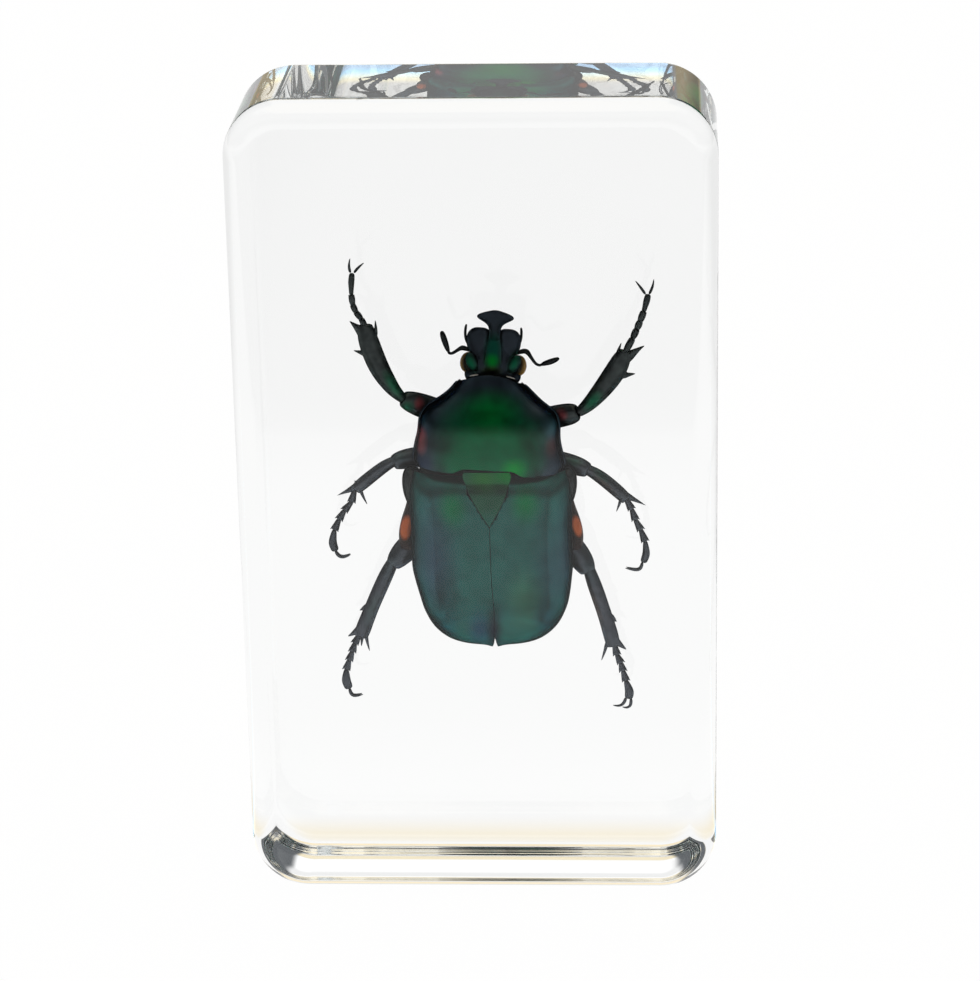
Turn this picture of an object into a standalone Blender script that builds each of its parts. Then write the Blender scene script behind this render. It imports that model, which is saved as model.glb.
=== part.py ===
"""Clear cast-resin block that holds one sealed beetle, modelled for Blender 4.5.

The block stands upright on its narrow end. +X is to the right as the block is
looked at, -Y is the front face that the beetle's back is turned to, and +Z is
up. The origin is on the surface that the block stands on, under its middle.
"""

import bpy
import bmesh
from mathutils import Matrix, Vector

MM = 0.001

# The cast block.
BLOCK_WIDTH = 44.0 * MM
BLOCK_HEIGHT = 76.8 * MM
BLOCK_DEPTH = 16.3 * MM

# The four corners of the mould, and the polished rounding where the sides meet
# the front face and, tighter, the back face.
CORNER_RADIUS = 5.4 * MM
CORNER_SEGMENTS = 14
FRONT_EDGE_RADIUS = 2.5 * MM
FRONT_EDGE_SEGMENTS = 8
BACK_EDGE_RADIUS = 1.5 * MM
BACK_EDGE_SEGMENTS = 6

RESIN_COLOUR = (0.93, 0.95, 0.95, 1.0)
RESIN_ROUGHNESS = 0.04
RESIN_IOR = 1.5

SMALL = 1e-6


def clear_scene():
    """Remove every object that the scene starts with."""
    for item in list(bpy.data.objects):
        bpy.data.objects.remove(item, do_unlink=True)


def resin_material():
    """Return the water-clear resin of the block."""
    material = bpy.data.materials.new("clear_resin")
    material.use_nodes = True
    shader = material.node_tree.nodes["Principled BSDF"]
    shader.inputs["Base Color"].default_value = RESIN_COLOUR
    shader.inputs["Metallic"].default_value = 0.0
    shader.inputs["Roughness"].default_value = RESIN_ROUGHNESS
    shader.inputs["IOR"].default_value = RESIN_IOR
    shader.inputs["Transmission Weight"].default_value = 1.0
    return material


def edges_along_depth(mesh):
    """Return the four edges that run from the front face to the back face."""
    found = []
    for edge in mesh.edges:
        span = edge.verts[0].co - edge.verts[1].co
        if abs(span.x) < SMALL and abs(span.z) < SMALL:
            found.append(edge)
    return found


def edges_round_face(mesh, depth):
    """Return the outline of the flat face that lies at one depth."""
    found = []
    for edge in mesh.edges:
        if all(abs(corner.co.y - depth) < SMALL for corner in edge.verts):
            found.append(edge)
    return found


def block_mesh():
    """Return the block: a box with round corners and softened face edges."""
    shape = bmesh.new()
    size = Matrix.Diagonal(Vector((BLOCK_WIDTH, BLOCK_DEPTH, BLOCK_HEIGHT, 1.0)))
    bmesh.ops.create_cube(shape, size=1.0, matrix=size)
    bmesh.ops.bevel(
        shape,
        geom=edges_along_depth(shape),
        offset=CORNER_RADIUS,
        offset_type="OFFSET",
        segments=CORNER_SEGMENTS,
        profile=0.5,
        affect="EDGES",
    )
    faces = (
        (-BLOCK_DEPTH / 2.0, FRONT_EDGE_RADIUS, FRONT_EDGE_SEGMENTS),
        (BLOCK_DEPTH / 2.0, BACK_EDGE_RADIUS, BACK_EDGE_SEGMENTS),
    )
    for depth, radius, segments in faces:
        bmesh.ops.bevel(
            shape,
            geom=edges_round_face(shape, depth),
            offset=radius,
            offset_type="OFFSET",
            segments=segments,
            profile=0.5,
            affect="EDGES",
        )
    bmesh.ops.recalc_face_normals(shape, faces=shape.faces)
    mesh = bpy.data.meshes.new("resin_block")
    shape.to_mesh(mesh)
    shape.free()
    mesh.shade_smooth()
    mesh.set_sharp_from_angle(angle=0.6)
    return mesh


def build_block():
    """Add the resin block, standing on the surface under the origin."""
    block = bpy.data.objects.new("resin_block", block_mesh())
    block.location = (0.0, 0.0, BLOCK_HEIGHT / 2.0)
    block.data.materials.append(resin_material())
    bpy.context.scene.collection.objects.link(block)
    return block


clear_scene()
build_block()
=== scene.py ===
"""Looks of a flower beetle sealed in a clear, polished block of cast resin.

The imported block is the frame. Sizes and places below are in millimetres, in the
block's own axes: +X right as the block is looked at, +Y away from the front
face, +Z up from the surface it stands on. The beetle's head points up and its
back faces the front. Its depths are measured from its own middle plane, which
lies a little behind the block's. A piece is modelled at that size, then shrunk
to metres and set into the block when it is finished.
"""

import logging
import math
from collections.abc import Callable
from dataclasses import astuple, dataclass
from enum import Enum

import bmesh
import bpy
from mathutils import Matrix, Vector

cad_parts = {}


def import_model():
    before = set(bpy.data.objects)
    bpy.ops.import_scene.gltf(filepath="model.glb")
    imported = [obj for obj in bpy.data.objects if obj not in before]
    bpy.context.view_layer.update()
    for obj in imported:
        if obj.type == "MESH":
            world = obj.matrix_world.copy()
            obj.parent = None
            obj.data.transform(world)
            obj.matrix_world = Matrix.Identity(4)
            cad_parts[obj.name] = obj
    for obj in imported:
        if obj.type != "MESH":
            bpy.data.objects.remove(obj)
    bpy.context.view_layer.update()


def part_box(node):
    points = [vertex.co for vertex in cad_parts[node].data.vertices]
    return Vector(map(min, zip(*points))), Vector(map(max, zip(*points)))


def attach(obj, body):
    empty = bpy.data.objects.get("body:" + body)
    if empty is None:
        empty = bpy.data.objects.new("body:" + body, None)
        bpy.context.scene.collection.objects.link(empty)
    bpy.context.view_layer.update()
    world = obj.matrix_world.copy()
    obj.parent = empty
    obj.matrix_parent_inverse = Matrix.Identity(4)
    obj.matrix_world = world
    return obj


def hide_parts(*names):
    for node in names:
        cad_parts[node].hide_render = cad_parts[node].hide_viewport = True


LOG = logging.getLogger("beetle_block")

MM = 0.001
SMALL = 1e-4
TOUCH = 1e-5
ORIGIN = (0.0, 0.0, 0.0)
BODY = "root"
BLOCK_NODE = "resin_block"
BEETLE_PLANE = 0.45

Colour = tuple[float, float, float]
Point = tuple[float, float, float]
Spot = tuple[float, float]
Piece = bpy.types.Object
Material = bpy.types.Material
Socket = bpy.types.NodeSocket


class Side(Enum):
    """A side of the beetle, as the block is looked at."""

    LEFT = -1
    RIGHT = 1

    @property
    def word(self) -> str:
        """Return the side's name for a piece."""
        return self.name.lower()


class Slot(Enum):
    """The record's material slots."""

    RESIN = "clear_resin"
    SHELL = "green_shell"
    WING_CASE = "teal_wing_case"
    LEG = "dark_leg"
    SIDE_PLATE = "rust_side_plate"
    EYE = "eye"


# ---------------------------------------------------------------- the bench


@dataclass(frozen=True)
class Template:
    """A smooth line through a few (place, size) points, with no overshoot."""

    points: tuple[tuple[float, float], ...]

    def at(self, place: float) -> float:
        """Return the size at a place.

        Args:
            place: Where along the line, in the points' own order or reversed.

        Returns:
            The size there; past an end it is the end's.
        """
        points = sorted(self.points)
        if place <= points[0][0]:
            return points[0][1]
        if place >= points[-1][0]:
            return points[-1][1]
        last = next(i for i in range(len(points) - 1) if place <= points[i + 1][0])
        (start, low), (stop, high) = points[last], points[last + 1]
        span, rise = stop - start, high - low
        part = (place - start) / span
        leave = self._slope(points, last) * span
        arrive = self._slope(points, last + 1) * span
        bend = 3.0 * rise - 2.0 * leave - arrive
        twist = leave + arrive - 2.0 * rise
        return low + part * (leave + part * (bend + part * twist))

    @staticmethod
    def _slope(points: list[tuple[float, float]], at: int) -> float:
        """Return the line's slope at one of its points.

        Args:
            points: The line's points, in order.
            at: Which of them.

        Returns:
            The slope; 0 where the line turns back.
        """
        if at in (0, len(points) - 1):
            near, far = (0, 1) if at == 0 else (-2, -1)
            return (points[far][1] - points[near][1]) / (points[far][0] - points[near][0])
        before = (points[at][1] - points[at - 1][1]) / (points[at][0] - points[at - 1][0])
        after = (points[at + 1][1] - points[at][1]) / (points[at + 1][0] - points[at][0])
        return 0.0 if before * after <= 0.0 else 2.0 * before * after / (before + after)


@dataclass(frozen=True)
class Ring:
    """A cross-section of a limb: its middle, how wide it is and how thick."""

    x: float
    y: float
    z: float
    wide: float
    thick: float

    @property
    def middle(self) -> Vector:
        """Return the ring's middle."""
        return Vector((self.x, self.y, self.z))


Course = tuple[Ring, ...]


def rings(*rows: tuple[float, float, float, float, float]) -> Course:
    """Return cross-sections from rows of x, y, z, width and thickness."""
    return tuple(Ring(*row) for row in rows)


def hold_ends(course: Course, grip: float = 0.2, blunt: float = 0.12, limit: float = 0.4) -> Course:
    """Add a ring close to each blunt end, so that rounding off keeps the end full.

    Args:
        course: The cross-sections of a limb.
        grip: How close the new ring lies, as a part of the end's size.
        blunt: Ends thinner than this stay as they are.
        limit: The largest part of the way to the next ring that it may lie at.

    Returns:
        The cross-sections with the new ones among them.
    """
    rows = list(course)
    ends = ((course[-1], course[-2], len(course) - 1), (course[0], course[1], 1))
    for end, inner, at in ends:
        size = min(end.wide, end.thick)
        if size > blunt:
            part = min(grip * size / (inner.middle - end.middle).length, limit)
            pairs = zip(astuple(end), astuple(inner))
            rows.insert(at, Ring(*(near + (far - near) * part for near, far in pairs)))
    return tuple(rows)


def deselect_all() -> None:
    """Go to object mode with nothing selected."""
    if bpy.context.object and bpy.context.object.mode != "OBJECT":
        bpy.ops.object.mode_set(mode="OBJECT")
    bpy.ops.object.select_all(action="DESELECT")


def take(piece: Piece) -> None:
    """Select one piece alone and make it the active one."""
    deselect_all()
    piece.select_set(True)
    bpy.context.view_layer.objects.active = piece


def edit_all(piece: Piece) -> None:
    """Open one piece in edit mode with all of it selected."""
    take(piece)
    bpy.ops.object.mode_set(mode="EDIT")
    bpy.ops.mesh.select_all(action="SELECT")


def open_mesh(piece: Piece) -> bmesh.types.BMesh:
    """Return the edit mesh of a piece in edit mode.

    Args:
        piece: The piece.

    Returns:
        Its edit mesh, with its index tables fresh.
    """
    mesh = bmesh.from_edit_mesh(piece.data)
    mesh.verts.ensure_lookup_table()
    mesh.edges.ensure_lookup_table()
    mesh.faces.ensure_lookup_table()
    return mesh


def reshape(piece: Piece, move: Callable[[Vector], Vector]) -> None:
    """Move every point of a piece by a rule.

    Args:
        piece: The object, in object mode.
        move: Gives a point's new place from its old one.
    """
    for point in piece.data.vertices:
        point.co = move(point.co.copy())
    piece.data.update()


def use_modifier(piece: Piece, kind: str, **values: object) -> None:
    """Add a modifier to a piece and apply it at once.

    Args:
        piece: The object it works on.
        kind: The modifier's type.
        values: Its settings.
    """
    take(piece)
    modifier = piece.modifiers.new(kind.lower(), kind)
    for name, value in values.items():
        setattr(modifier, name, value)
    bpy.ops.object.modifier_apply(modifier=modifier.name)


def subdivide(piece: Piece, levels: int) -> None:
    """Round a piece off with a subdivision surface."""
    use_modifier(piece, "SUBSURF", levels=levels, render_levels=levels)


def thicken(piece: Piece, thickness: float) -> None:
    """Give an open sheet a thickness, from its outer face away from the block's front.

    Args:
        piece: The sheet.
        thickness: How thick it becomes.
    """
    edit_all(piece)
    bpy.ops.mesh.normals_make_consistent(inside=False)
    if sum(face.normal.y * face.calc_area() for face in open_mesh(piece).faces) > 0.0:
        bpy.ops.mesh.flip_normals()
    deselect_all()
    use_modifier(piece, "SOLIDIFY", thickness=thickness, offset=-1.0, use_rim=True)


def soften(piece: Piece, width: float, segments: int, sharp_deg: float = 50.0) -> None:
    """Bevel a piece's sharp edges.

    Args:
        piece: The object it works on.
        width: How wide the bevel is.
        segments: Faces across it.
        sharp_deg: The angle from which an edge counts as sharp.
    """
    angle = math.radians(sharp_deg)
    use_modifier(piece, "BEVEL", width=width, segments=segments, limit_method="ANGLE", angle_limit=angle)


def settle(piece: Piece, axis: float, drift: Template) -> None:
    """Move a piece from x = 0 to the beetle's axis, which drifts with its height."""
    reshape(piece, lambda point: point + Vector((axis + drift.at(point.z), 0.0, 0.0)))


def rod(name: str, course: Course, sides: int = 12, rounds: int = 2) -> Piece:
    """Model a closed limb along a course, by extruding and shaping its end.

    Args:
        name: The piece's name.
        course: Its cross-sections, from its root to its tip.
        sides: Faces round it.
        rounds: How many times it is subdivided.

    Returns:
        The limb.
    """
    deselect_all()
    bpy.ops.mesh.primitive_circle_add(vertices=sides, radius=0.5, fill_type="NGON")
    piece = bpy.context.object
    piece.name = name
    bpy.ops.object.mode_set(mode="EDIT")
    bpy.ops.transform.resize(value=(course[0].wide, course[0].thick, 1.0), center_override=ORIGIN)
    for step, (before, after) in enumerate(zip(course, course[1:]), 1):
        bpy.ops.mesh.extrude_region_move(TRANSFORM_OT_translate={"value": (0.0, 0.0, 1.0)})
        grow = (after.wide / before.wide, after.thick / before.thick, 1.0)
        bpy.ops.transform.resize(value=grow, center_override=(0.0, 0.0, float(step)))
    levels = [round(point.co.z) for point in open_mesh(piece).verts]
    for step, ring in enumerate(course):
        mesh = open_mesh(piece)
        for point, level in zip(mesh.verts, levels):
            point.select_set(level == step)
        mesh.select_flush_mode()
        bmesh.update_edit_mesh(piece.data)
        before, after = course[max(step - 1, 0)], course[min(step + 1, len(course) - 1)]
        way = (after.middle - before.middle).normalized()
        centre = (0.0, 0.0, float(step))
        # With no window the operator turns the other way, so both turns are negated.
        bpy.ops.transform.rotate(value=math.asin(way.y), orient_axis="X", center_override=centre)
        bpy.ops.transform.rotate(value=-math.atan2(way.x, way.z), orient_axis="Y", center_override=centre)
        bpy.ops.transform.translate(value=ring.middle - Vector(centre))
    bpy.ops.mesh.select_all(action="SELECT")
    bpy.ops.mesh.normals_make_consistent(inside=False)
    deselect_all()
    if rounds:
        subdivide(piece, rounds)
    return piece


def lump(name: str, middle: Point, reach: Point, lean_deg: float = 0.0) -> Piece:
    """Model a rounded lump.

    Args:
        name: The piece's name.
        middle: Its middle.
        reach: Its half sizes along its own axes.
        lean_deg: How far its top leans to the right.

    Returns:
        The lump.
    """
    deselect_all()
    bpy.ops.mesh.primitive_uv_sphere_add(segments=32, ring_count=20, radius=1.0)
    piece = bpy.context.object
    piece.name = name
    bpy.ops.object.mode_set(mode="EDIT")
    bpy.ops.transform.resize(value=reach, center_override=ORIGIN)
    bpy.ops.transform.rotate(value=-math.radians(lean_deg), orient_axis="Y", center_override=ORIGIN)
    bpy.ops.transform.translate(value=middle)
    deselect_all()
    return piece


def gather(name: str, parts: list[Piece]) -> Piece:
    """Join parts into one piece as they are.

    Args:
        name: The piece's name.
        parts: The parts; the first one becomes the piece.

    Returns:
        The piece.
    """
    deselect_all()
    for part in parts:
        part.select_set(True)
    bpy.context.view_layer.objects.active = parts[0]
    bpy.ops.object.join()
    parts[0].name = name
    return parts[0]


def weld(name: str, parts: list[Piece], grain: float, passes: int) -> Piece:
    """Fuse overlapping closed parts into one grown skin.

    Args:
        name: The piece's name.
        parts: The parts, which overlap.
        grain: The size of the cells that the skin is made from.
        passes: How many times the skin is evened out.

    Returns:
        The fused piece.
    """
    piece = gather(name, parts)
    use_modifier(piece, "REMESH", mode="VOXEL", voxel_size=grain, adaptivity=0.0)
    use_modifier(piece, "SMOOTH", factor=0.5, iterations=passes)
    return piece


def mirror_copy(piece: Piece, name: str) -> Piece:
    """Copy a piece to the other side of x = 0, with a mesh of its own.

    Args:
        piece: The piece to copy.
        name: The copy's name.

    Returns:
        The copy.
    """
    take(piece)
    bpy.ops.object.duplicate(linked=False)
    copy = bpy.context.object
    copy.name = name
    edit_all(copy)
    bpy.ops.transform.resize(value=(-1.0, 1.0, 1.0), center_override=ORIGIN)
    bpy.ops.mesh.flip_normals()
    deselect_all()
    return copy


def lean(pivot_x: float, pivot_z: float, degrees: float) -> Matrix:
    """Return the turn of a piece whose top leans to the right about a pivot."""
    pivot = Matrix.Translation(Vector((pivot_x, 0.0, pivot_z)))
    return pivot @ Matrix.Rotation(math.radians(degrees), 4, "Y") @ pivot.inverted()


def finish_piece(piece: Piece, slot: Slot, finish: Material, turn: Matrix | None = None) -> None:
    """Bring a modelled piece to metres, dress it and fix it in the block.

    Its object ends at the origin, unturned and unscaled.

    Args:
        piece: The piece, modelled in millimetres in the block's axes.
        slot: Which of the record's material slots it belongs to; it sets only whether the piece moves into
            the beetle's plane.
        finish: The material it is dressed in.
        turn: How it is turned into place, if it was modelled upright.
    """
    take(piece)
    bpy.ops.object.shade_smooth()
    place = Matrix.Translation((0.0, 0.0 if slot is Slot.RESIN else BEETLE_PLANE, 0.0))
    piece.matrix_world = Matrix.Scale(MM, 4) @ place @ (turn or Matrix.Identity(4)) @ piece.matrix_world
    bpy.ops.object.transform_apply(location=True, rotation=True, scale=True)
    piece.data.materials.clear()
    piece.data.materials.append(finish)
    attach(piece, BODY)
    LOG.info("%s: %d faces", piece.name, len(piece.data.polygons))


# ------------------------------------------------------------- the finishes


class NodeSheet:
    """Lays out nodes and links them."""

    def __init__(self, tree: bpy.types.NodeTree) -> None:
        """Start on a tree of nodes."""
        self.tree = tree

    def feed(self, socket: Socket, value: object) -> None:
        """Set a socket's value, or link it.

        Args:
            socket: The socket.
            value: Its value, or the socket that feeds it.
        """
        if isinstance(value, Socket):
            self.tree.links.new(value, socket)
        else:
            socket.default_value = value

    def node(self, kind: str, **inputs: object) -> bpy.types.Node:
        """Add a node.

        Args:
            kind: Its type, without the ShaderNode in front.
            inputs: Values for its sockets, or the sockets that feed them.

        Returns:
            The node.
        """
        made = self.tree.nodes.new("ShaderNode" + kind)
        for name, value in inputs.items():
            self.feed(made.inputs[name.replace("_", " ")], value)
        return made

    def fade(self, value: Socket, start: float, full: float) -> Socket:
        """Return a soft step that is 0 up to one value and 1 from another on.

        Args:
            value: What it steps with.
            start: Where it leaves 0.
            full: Where it reaches 1; less than the start for a falling step.

        Returns:
            The step's socket.
        """
        step = self.node("MapRange", Value=value, From_Min=start, From_Max=full)
        step.interpolation_type = "SMOOTHSTEP"
        return step.outputs["Result"]

    def reckon(self, operation: str, *values: object) -> Socket:
        """Do sums with a Math node.

        Args:
            operation: What it does.
            values: What it does it with: numbers or sockets.

        Returns:
            The result's socket.
        """
        made = self.node("Math")
        made.operation = operation
        for socket, value in zip(made.inputs, values):
            self.feed(socket, value)
        return made.outputs["Value"]

    def mix(self, factor: object, below: object, above: object, blend: str = "MIX") -> Socket:
        """Lay one colour over another.

        Args:
            factor: How much of the upper colour shows.
            below: The lower colour, or its socket.
            above: The upper colour, or its socket.
            blend: How they mix.

        Returns:
            The mixed colour's socket.
        """
        made = self.node("Mix")
        made.data_type = "RGBA"
        made.blend_type = blend
        sockets = {item.identifier: item for item in made.inputs}
        for name, value in (("Factor_Float", factor), ("A_Color", below), ("B_Color", above)):
            self.feed(sockets[name], (*value, 1.0) if isinstance(value, tuple) else value)
        return next(item for item in made.outputs if item.identifier == "Result_Color")


class Recipe(NodeSheet):
    """Lays out the nodes of one material."""

    def __init__(self, name: str) -> None:
        """Start a material with a Principled shader.

        Args:
            name: The material's name.
        """
        self.material = bpy.data.materials.new(name)
        self.material.use_nodes = True
        super().__init__(self.material.node_tree)
        self.shader = self.tree.nodes["Principled BSDF"]
        self.output = self.tree.nodes["Material Output"]

    def set(self, **values: float | tuple[float, ...] | Socket) -> None:
        """Set the shader's sockets, or feed them; underscores stand for spaces."""
        for name, value in values.items():
            self.feed(self.shader.inputs[name.replace("_", " ")], value)

    def place(self) -> Socket:
        """Return the place on the piece, in its own coordinates."""
        return self.node("TexCoord").outputs["Object"]


@dataclass(frozen=True)
class Patch:
    """A soft spot of another colour on a shell."""

    colour: Colour
    middle: Point
    reach: Point
    strength: float = 1.0
    lean_deg: float = 0.0
    plateau: float = 0.0

    def lay(self, recipe: Recipe, place: Socket, below: object) -> Socket:
        """Lay the spot over a colour.

        Args:
            recipe: The material being made.
            place: The place on the piece.
            below: The colour underneath, or its socket.

        Returns:
            The new colour's socket.
        """
        centre = recipe.node(
            "Mapping",
            Vector=place,
            Location=Vector(self.middle) * MM,
            Rotation=(0.0, math.radians(self.lean_deg), 0.0),
            Scale=Vector(self.reach) * MM,
        )
        centre.vector_type = "TEXTURE"
        ball = recipe.node("TexGradient", Vector=centre.outputs["Vector"])
        ball.gradient_type = "SPHERICAL"
        edge = 1.0 - self.plateau
        soft = recipe.node("MapRange", Value=ball.outputs["Fac"], From_Max=edge, To_Max=self.strength)
        soft.interpolation_type = "SMOOTHSTEP"
        return recipe.mix(soft.outputs["Result"], below, self.colour)


def spots(depth: float, reach: float, *rows: tuple[Colour | float, ...]) -> tuple[Patch, ...]:
    """Return patches whose middles lie at one depth.

    Args:
        depth: That depth.
        reach: How far they reach, front to back.
        rows: The colour, x, z, half width and half height of each, then its strength,
            lean and plateau if it has them.

    Returns:
        The patches.
    """
    return tuple(
        Patch(colour, (x, depth, z), (wide, reach, high), *rest) for colour, x, z, wide, high, *rest in rows
    )


@dataclass(frozen=True)
class ShellFinish:
    """Beetle shell: a dark metallic skin with soft spots of other colours.

    The smoothest place of a rough skin stays rougher than 0.28. The denoiser takes
    smoother metal for a mirror, and a skin that crosses from one to the other
    shows dark lines there.
    """

    name: str
    colour: Colour
    patches: tuple[Patch, ...] = ()
    metal: float = 1.0
    roughness: float = 0.34
    smoother: float = 0.02
    rougher: float = 0.04
    edge: Colour = (0.05, 0.07, 0.07)
    shine: float = 0.2
    cloud_size: float = 1.6
    cloud: float = 0.15
    cloud_range: tuple[float, float] = (0.3, 0.7)
    pit_size: float = 0.22
    pit_depth: float = 0.0
    pit_width: float = 0.35

    def material(self) -> Material:
        """Return the shell's material, with soft spots, mottling and any pits."""
        recipe = Recipe(self.name)
        recipe.set(Metallic=self.metal, Specular_IOR_Level=self.shine, Specular_Tint=(*self.edge, 1.0))
        place = recipe.place()
        shade: object = self.colour
        for patch in self.patches:
            shade = patch.lay(recipe, place, shade)
        cloud = recipe.node("TexNoise", Vector=place, Scale=1.0 / (self.cloud_size * MM), Detail=1.0)
        light = self._vary(recipe, cloud, 1.0 - self.cloud, 1.0 + self.cloud)
        grey = recipe.node("CombineColor", Red=light, Green=light, Blue=light)
        shade = recipe.mix(1.0, shade, grey.outputs["Color"], "MULTIPLY")
        wear = self._vary(recipe, cloud, self.roughness - self.smoother, self.roughness + self.rougher)
        recipe.set(Base_Color=shade, Roughness=wear)
        if self.pit_depth:
            pits = recipe.node("TexVoronoi", Vector=place, Scale=1.0 / (self.pit_size * MM))
            hollow = recipe.fade(pits.outputs["Distance"], 0.0, self.pit_width)
            bump = recipe.node("Bump", Height=hollow, Strength=1.0, Distance=self.pit_depth * MM)
            recipe.set(Normal=bump.outputs["Normal"])
        return recipe.material

    def _vary(self, recipe: Recipe, cloud: bpy.types.Node, low: float, high: float) -> Socket:
        """Return a value that wanders between two limits with the mottling.

        Args:
            recipe: The material being made.
            cloud: The noise behind the mottling.
            low: The lower limit.
            high: The upper limit.

        Returns:
            The value's socket.
        """
        start, stop = self.cloud_range
        limits = {"From_Min": start, "From_Max": stop, "To_Min": low, "To_Max": high}
        return recipe.node("MapRange", Value=cloud.outputs["Fac"], **limits).outputs["Result"]


@dataclass(frozen=True)
class ResinFinish:
    """Water-clear polyester resin, polished on every face."""

    colour: Colour = (1.0, 1.0, 1.0)
    bend: float = 1.5
    depth_colour: Colour = (0.5, 0.62, 0.58)
    depth_density: float = 2.2

    def material(self) -> Material:
        """Return the resin as a see-through material with faint absorption."""
        recipe = Recipe("clear_resin")
        recipe.set(Base_Color=(*self.colour, 1.0), Roughness=0.0, IOR=self.bend, Transmission_Weight=1.0)
        depth = recipe.node("VolumeAbsorption", Color=(*self.depth_colour, 1.0), Density=self.depth_density)
        recipe.tree.links.new(depth.outputs["Volume"], recipe.output.inputs["Volume"])
        return recipe.material


# ------------------------------------------------------------ the resin block


@dataclass
class ResinBlock:
    """The cast block: round corners and a softened edge round both faces."""

    width: float
    depth: float
    height: float
    corner_radius: float = 5.4
    corner_segments: int = 40
    front_edge: float = 2.5
    front_segments: int = 18
    back_edge: float = 1.5
    back_segments: int = 14

    def build(self, finish: ResinFinish) -> None:
        """Model the block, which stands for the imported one, finely enough to bend light smoothly.

        Args:
            finish: The clear resin.
        """
        deselect_all()
        bpy.ops.mesh.primitive_cube_add(size=1.0, location=(0.0, 0.0, self.height / 2.0))
        block = bpy.context.object
        block.name = "resin_block_cast"
        block.scale = (self.width, self.depth, self.height)
        bpy.ops.object.transform_apply(location=True, rotation=True, scale=True)
        bpy.ops.object.mode_set(mode="EDIT")
        face = self.depth / 2.0
        self._bevel(block, lambda a, b: abs(b.y - a.y) > face, self.corner_radius, self.corner_segments)
        self._bevel(block, lambda a, b: max(a.y, b.y) < SMALL - face, self.front_edge, self.front_segments)
        self._bevel(block, lambda a, b: min(a.y, b.y) > face - SMALL, self.back_edge, self.back_segments)
        bpy.ops.mesh.select_all(action="SELECT")
        bpy.ops.mesh.normals_make_consistent(inside=False)
        deselect_all()
        finish_piece(block, Slot.RESIN, finish.material())
        use_modifier(block, "WEIGHTED_NORMAL", mode="FACE_AREA", weight=100)
        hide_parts(BLOCK_NODE)

    @staticmethod
    def _bevel(block: Piece, wanted: Callable[[Vector, Vector], bool], radius: float, segments: int) -> None:
        """Round the edges that pass a test.

        Args:
            block: The block, in edit mode.
            wanted: Says whether an edge with these ends is rounded.
            radius: The rounding's radius.
            segments: Faces across the rounding.
        """
        bpy.ops.mesh.select_all(action="DESELECT")
        for edge in open_mesh(block).edges:
            if wanted(edge.verts[0].co, edge.verts[1].co):
                edge.select_set(True)
        bmesh.update_edit_mesh(block.data)
        bpy.ops.mesh.bevel(offset=radius, segments=segments, profile=0.5, affect="EDGES")


# --------------------------------------------------------------- the beetle


@dataclass(frozen=True)
class Dome:
    """An arched shell over the beetle's back, in the beetle's own middle plane.

    Its margin runs along a flat plane and its back rises towards the front
    face. The cross-section is a squared-off ellipse.
    """

    half_width: Template
    height: Template
    margin: float
    squareness: float = 2.5

    def y(self, across: float, z: float) -> float:
        """Return how deep the shell's outer face lies.

        Args:
            across: Distance from the middle plane.
            z: Height up the block.

        Returns:
            The depth in the block.
        """
        part = min(abs(across) / self.half_width.at(z), 1.0)
        return self.margin - self.height.at(z) * (1.0 - part**self.squareness) ** (1.0 / self.squareness)

    def arch(self, name: str, levels: list[float], steps: int = 44) -> Piece:
        """Model the shell's outer face as half a ring, extruded level by level.

        Args:
            name: The piece's name.
            levels: The heights of its cross-sections.
            steps: Faces from one margin to the other.

        Returns:
            The open arched sheet, with its middle plane at x = 0.
        """
        deselect_all()
        bpy.ops.mesh.primitive_circle_add(vertices=2 * steps, radius=1.0, fill_type="NOTHING")
        piece = bpy.context.object
        piece.name = name
        bpy.ops.object.mode_set(mode="EDIT")
        bpy.ops.mesh.select_all(action="SELECT")
        bpy.ops.mesh.bisect(plane_co=ORIGIN, plane_no=(0.0, 1.0, 0.0), clear_outer=True, threshold=TOUCH)
        square = 2.0 / self.squareness
        for point in open_mesh(piece).verts:
            across, up = abs(point.co.x) ** square, max(-point.co.y, 0.0) ** square
            point.co = (math.copysign(across, point.co.x), -up, 0.0)
        bmesh.update_edit_mesh(piece.data)
        bpy.ops.mesh.select_all(action="SELECT")
        wide, high = self.half_width.at(levels[0]), self.height.at(levels[0])
        bpy.ops.transform.resize(value=(wide, high, 1.0), center_override=ORIGIN)
        bpy.ops.transform.translate(value=(0.0, self.margin, levels[0]))
        for below, above in zip(levels, levels[1:]):
            bpy.ops.mesh.extrude_region_move(TRANSFORM_OT_translate={"value": (0.0, 0.0, above - below)})
            grow_x = self.half_width.at(above) / self.half_width.at(below)
            grow_y = self.height.at(above) / self.height.at(below)
            centre = (0.0, self.margin, above)
            bpy.ops.transform.resize(value=(grow_x, grow_y, 1.0), center_override=centre)
        deselect_all()
        return piece


def spread(start: float, stop: float, count: int, crowd: float = 1.0) -> list[float]:
    """Return levels from start to stop, crowded towards the stop.

    Args:
        start: The first level.
        stop: The last level.
        count: How many steps lie between them.
        crowd: 1 for even steps, more to crowd them towards the stop.

    Returns:
        The levels.
    """
    return [stop + (start - stop) * (1.0 - step / count) ** crowd for step in range(count + 1)]


def bell(away: float, reach: float) -> float:
    """Return a soft bump: 1 in the middle, 0 from its reach on."""
    part = min(abs(away) / reach, 1.0)
    return (1.0 - part * part) ** 2


def ramp(value: float, start: float, full: float) -> float:
    """Return a straight step: 0 up to the start, 1 from the full value on."""
    return min(max((value - start) / (full - start), 0.0), 1.0)


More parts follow.
